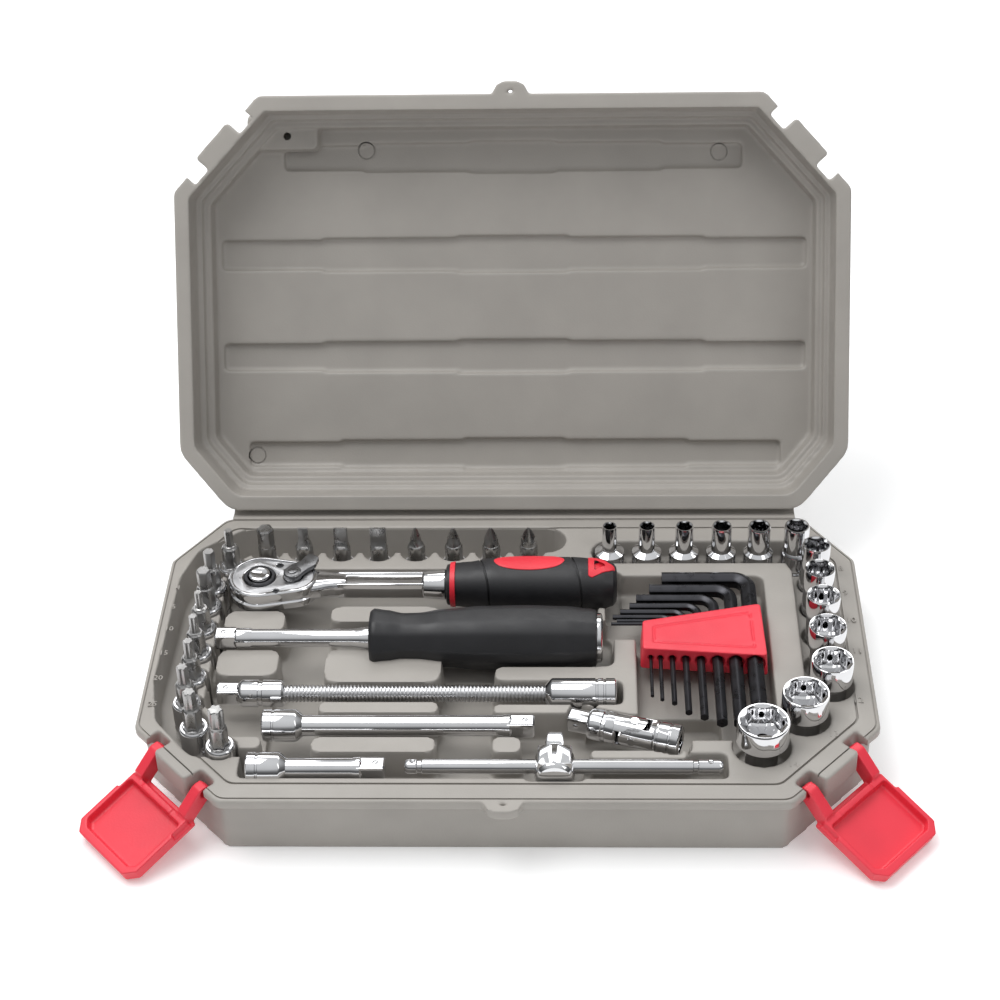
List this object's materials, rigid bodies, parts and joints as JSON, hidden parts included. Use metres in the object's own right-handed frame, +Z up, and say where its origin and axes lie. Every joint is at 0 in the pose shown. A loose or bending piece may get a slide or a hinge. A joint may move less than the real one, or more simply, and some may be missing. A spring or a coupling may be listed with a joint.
{
  "type": "socket wrench set in case",
  "caption": "Hinged blow-moulded case with a fitted tray of chrome sockets, bit sockets, hex keys, a ratchet, a spinner handle, extensions, a T-bar and a universal joint.",
  "frame": {"origin": "middle of the case's flat underside", "axes": "+Z up, +X to the right along the hinge, +Y towards the hinge and the lid"},
  "size_m": [0.3146, 0.2937, 0.1801],
  "materials": {
    "case": "fine-textured blow-moulded polyethylene, warm grey",
    "red_plastic": "semi-gloss moulded polypropylene, coral red",
    "black_grip": "satin soft-touch grip, black",
    "black_oxide": "oiled black oxide steel",
    "chrome": "polished chrome plate on steel",
    "bit_steel": "satin chrome body with a darker steel bit"
  },
  "bodies": {
    "base": {"case_base": "case"},
    "lid": {"case_lid": "case"},
    "latch_left": {"latch_left": "red_plastic"},
    "latch_right": {"latch_right": "red_plastic"},
    "hex_keys": {"hex_key_holder": "red_plastic", "hex_key_6mm": "black_oxide", "hex_key_5mm": "black_oxide", "hex_key_4mm": "black_oxide", "hex_key_3mm": "black_oxide", "hex_key_2_5mm": "black_oxide", "hex_key_2mm": "black_oxide", "hex_key_1_5mm": "black_oxide", "hex_key_1_27mm": "black_oxide"},
    "ratchet": {"ratchet_body": "chrome", "ratchet_grip": "black_grip"},
    "ratchet_anvil": {"ratchet_anvil": "chrome"},
    "ratchet_release_button": {"ratchet_release_button": "chrome"},
    "ratchet_reversing_lever": {"ratchet_reversing_lever": "chrome"},
    "spinner": {"spinner_shaft": "chrome", "spinner_grip": "black_grip"},
    "flexible_extension": {"flexible_square_end": "chrome", "flexible_coil": "chrome", "flexible_socket_end": "chrome"},
    "extension_long": {"extension_long": "chrome"},
    "extension_short": {"extension_short": "chrome"},
    "t_bar": {"t_bar": "chrome"},
    "t_bar_head": {"t_bar_head": "chrome"},
    "universal_socket_yoke": {"universal_socket_yoke": "chrome"},
    "universal_cross": {"universal_cross": "chrome"},
    "universal_drive_yoke": {"universal_drive_yoke": "chrome"},
    "socket_4mm": {"socket_4mm": "chrome"},
    "socket_4_5mm": {"socket_4_5mm": "chrome"},
    "socket_5mm": {"socket_5mm": "chrome"},
    "socket_5_5mm": {"socket_5_5mm": "chrome"},
    "socket_6mm": {"socket_6mm": "chrome"},
    "socket_7mm": {"socket_7mm": "chrome"},
    "socket_8mm": {"socket_8mm": "chrome"},
    "socket_9mm": {"socket_9mm": "chrome"},
    "socket_10mm": {"socket_10mm": "chrome"},
    "socket_11mm": {"socket_11mm": "chrome"},
    "socket_12mm": {"socket_12mm": "chrome"},
    "socket_13mm": {"socket_13mm": "chrome"},
    "socket_14mm": {"socket_14mm": "chrome"},
    "bit_hex_6": {"bit_hex_6": "bit_steel"},
    "bit_slot_4": {"bit_slot_4": "bit_steel"},
    "bit_slot_5_5": {"bit_slot_5_5": "bit_steel"},
    "bit_slot_6_5": {"bit_slot_6_5": "bit_steel"},
    "bit_cross_1": {"bit_cross_1": "bit_steel"},
    "bit_cross_2": {"bit_cross_2": "bit_steel"},
    "bit_cross_3": {"bit_cross_3": "bit_steel"},
    "bit_cross_4": {"bit_cross_4": "bit_steel"},
    "bit_hex_3": {"bit_hex_3": "bit_steel"},
    "bit_hex_4": {"bit_hex_4": "bit_steel"},
    "bit_hex_5": {"bit_hex_5": "bit_steel"},
    "bit_star_10": {"bit_star_10": "bit_steel"},
    "bit_star_15": {"bit_star_15": "bit_steel"},
    "bit_star_20": {"bit_star_20": "bit_steel"},
    "bit_star_25": {"bit_star_25": "bit_steel"},
    "bit_star_30": {"bit_star_30": "bit_steel"},
    "bit_star_40": {"bit_star_40": "bit_steel"}
  },
  "joints": [
    {"name": "case_lid_hinge", "type": "hinge", "parent": "base", "child": "lid", "pos_m": [0, 0.0846, 0.0297], "axis": [-1, 0, 0], "range_deg": [-120, 43]},
    {"name": "case_latch_left_hinge", "type": "hinge", "parent": "base", "child": "latch_left", "pos_m": [-0.11802, -0.06241, 0.022], "axis": [0.6727, -0.7399, 0], "range_deg": [-110.5, 0]},
    {"name": "case_latch_right_hinge", "type": "hinge", "parent": "base", "child": "latch_right", "pos_m": [0.11802, -0.06241, 0.022], "axis": [0.6727, 0.7399, 0], "range_deg": [-110.5, 0]},
    {"name": "ratchet_lift", "type": "slide", "parent": "base", "child": "ratchet", "axis": [0, 0, 1], "range_m": [0, 0.045]},
    {"name": "anvil_spin", "type": "hinge", "parent": "ratchet", "child": "ratchet_anvil", "pos_m": [-0.0986, 0.034, 0.03], "axis": [0, 0, 1], "continuous": true},
    {"name": "button_press", "type": "slide", "parent": "ratchet_anvil", "child": "ratchet_release_button", "axis": [0, 0, 1], "range_m": [-0.0015, 0], "stiffness_N_per_m": 300, "springref_m": 0.001},
    {"name": "lever_flip", "type": "hinge", "parent": "ratchet", "child": "ratchet_reversing_lever", "pos_m": [-0.0854, 0.034, 0.0346], "axis": [0, 0, 1], "range_deg": [-108, 0]},
    {"name": "spinner_lift", "type": "slide", "parent": "base", "child": "spinner", "axis": [0, 0, 1], "range_m": [0, 0.045]},
    {"name": "flexible_extension_lift", "type": "slide", "parent": "base", "child": "flexible_extension", "axis": [0, 0, 1], "range_m": [0, 0.045]},
    {"name": "extension_long_lift", "type": "slide", "parent": "base", "child": "extension_long", "axis": [0, 0, 1], "range_m": [0, 0.045]},
    {"name": "extension_short_lift", "type": "slide", "parent": "base", "child": "extension_short", "axis": [0, 0, 1], "range_m": [0, 0.045]},
    {"name": "t_bar_lift", "type": "slide", "parent": "base", "child": "t_bar", "axis": [0, 0, 1], "range_m": [0, 0.045]},
    {"name": "universal_joint_lift", "type": "slide", "parent": "base", "child": "universal_socket_yoke", "axis": [0, 0, 1], "range_m": [0, 0.045]},
    {"name": "hex_keys_lift", "type": "slide", "parent": "base", "child": "hex_keys", "axis": [0, 0, 1], "range_m": [0, 0.045]},
    {"name": "head_slide", "type": "slide", "parent": "t_bar", "child": "t_bar_head", "axis": [1, 0, 0], "range_m": [-0.003, 0.003]},
    {"name": "joint_pitch", "type": "hinge", "parent": "universal_socket_yoke", "child": "universal_cross", "pos_m": [0.0472, -0.0469, 0.0266], "axis": [0.2807, 0.9598, 0], "range_deg": [0, 40]},
    {"name": "joint_yaw", "type": "hinge", "parent": "universal_cross", "child": "universal_drive_yoke", "pos_m": [0.0472, -0.0469, 0.0266], "axis": [0, 0, 1], "range_deg": [-5, 5]},
    {"name": "lift_socket_4mm", "type": "slide", "parent": "base", "child": "socket_4mm", "axis": [0, 0, 1], "range_m": [0, 0.045]},
    {"name": "lift_socket_4_5mm", "type": "slide", "parent": "base", "child": "socket_4_5mm", "axis": [0, 0, 1], "range_m": [0, 0.045]},
    {"name": "lift_socket_5mm", "type": "slide", "parent": "base", "child": "socket_5mm", "axis": [0, 0, 1], "range_m": [0, 0.045]},
    {"name": "lift_socket_5_5mm", "type": "slide", "parent": "base", "child": "socket_5_5mm", "axis": [0, 0, 1], "range_m": [0, 0.045]},
    {"name": "lift_socket_6mm", "type": "slide", "parent": "base", "child": "socket_6mm", "axis": [0, 0, 1], "range_m": [0, 0.045]},
    {"name": "lift_socket_7mm", "type": "slide", "parent": "base", "child": "socket_7mm", "axis": [0, 0, 1], "range_m": [0, 0.045]},
    {"name": "lift_socket_8mm", "type": "slide", "parent": "base", "child": "socket_8mm", "axis": [0, 0, 1], "range_m": [0, 0.045]},
    {"name": "lift_socket_9mm", "type": "slide", "parent": "base", "child": "socket_9mm", "axis": [0, 0, 1], "range_m": [0, 0.045]},
    {"name": "lift_socket_10mm", "type": "slide", "parent": "base", "child": "socket_10mm", "axis": [0, 0, 1], "range_m": [0, 0.045]},
    {"name": "lift_socket_11mm", "type": "slide", "parent": "base", "child": "socket_11mm", "axis": [0, 0, 1], "range_m": [0, 0.045]},
    {"name": "lift_socket_12mm", "type": "slide", "parent": "base", "child": "socket_12mm", "axis": [0, 0, 1], "range_m": [0, 0.045]},
    {"name": "lift_socket_13mm", "type": "slide", "parent": "base", "child": "socket_13mm", "axis": [0, 0, 1], "range_m": [0, 0.045]},
    {"name": "lift_socket_14mm", "type": "slide", "parent": "base", "child": "socket_14mm", "axis": [0, 0, 1], "range_m": [0, 0.045]},
    {"name": "lift_bit_hex_6", "type": "slide", "parent": "base", "child": "bit_hex_6", "axis": [0, 0, 1], "range_m": [0, 0.045]},
    {"name": "lift_bit_slot_4", "type": "slide", "parent": "base", "child": "bit_slot_4", "axis": [0, 0, 1], "range_m": [0, 0.045]},
    {"name": "lift_bit_slot_5_5", "type": "slide", "parent": "base", "child": "bit_slot_5_5", "axis": [0, 0, 1], "range_m": [0, 0.045]},
    {"name": "lift_bit_slot_6_5", "type": "slide", "parent": "base", "child": "bit_slot_6_5", "axis": [0, 0, 1], "range_m": [0, 0.045]},
    {"name": "lift_bit_cross_1", "type": "slide", "parent": "base", "child": "bit_cross_1", "axis": [0, 0, 1], "range_m": [0, 0.045]},
    {"name": "lift_bit_cross_2", "type": "slide", "parent": "base", "child": "bit_cross_2", "axis": [0, 0, 1], "range_m": [0, 0.045]},
    {"name": "lift_bit_cross_3", "type": "slide", "parent": "base", "child": "bit_cross_3", "axis": [0, 0, 1], "range_m": [0, 0.045]},
    {"name": "lift_bit_cross_4", "type": "slide", "parent": "base", "child": "bit_cross_4", "axis": [0, 0, 1], "range_m": [0, 0.045]},
    {"name": "lift_bit_hex_3", "type": "slide", "parent": "base", "child": "bit_hex_3", "axis": [0, 0, 1], "range_m": [0, 0.045]},
    {"name": "lift_bit_hex_4", "type": "slide", "parent": "base", "child": "bit_hex_4", "axis": [0, 0, 1], "range_m": [0, 0.045]},
    {"name": "lift_bit_hex_5", "type": "slide", "parent": "base", "child": "bit_hex_5", "axis": [0, 0, 1], "range_m": [0, 0.045]},
    {"name": "lift_bit_star_10", "type": "slide", "parent": "base", "child": "bit_star_10", "axis": [0, 0, 1], "range_m": [0, 0.045]},
    {"name": "lift_bit_star_15", "type": "slide", "parent": "base", "child": "bit_star_15", "axis": [0, 0, 1], "range_m": [0, 0.045]},
    {"name": "lift_bit_star_20", "type": "slide", "parent": "base", "child": "bit_star_20", "axis": [0, 0, 1], "range_m": [0, 0.045]},
    {"name": "lift_bit_star_25", "type": "slide", "parent": "base", "child": "bit_star_25", "axis": [0, 0, 1], "range_m": [0, 0.045]},
    {"name": "lift_bit_star_30", "type": "slide", "parent": "base", "child": "bit_star_30", "axis": [0, 0, 1], "range_m": [0, 0.045]},
    {"name": "lift_bit_star_40", "type": "slide", "parent": "base", "child": "bit_star_40", "axis": [0, 0, 1], "range_m": [0, 0.045]}
  ]
}
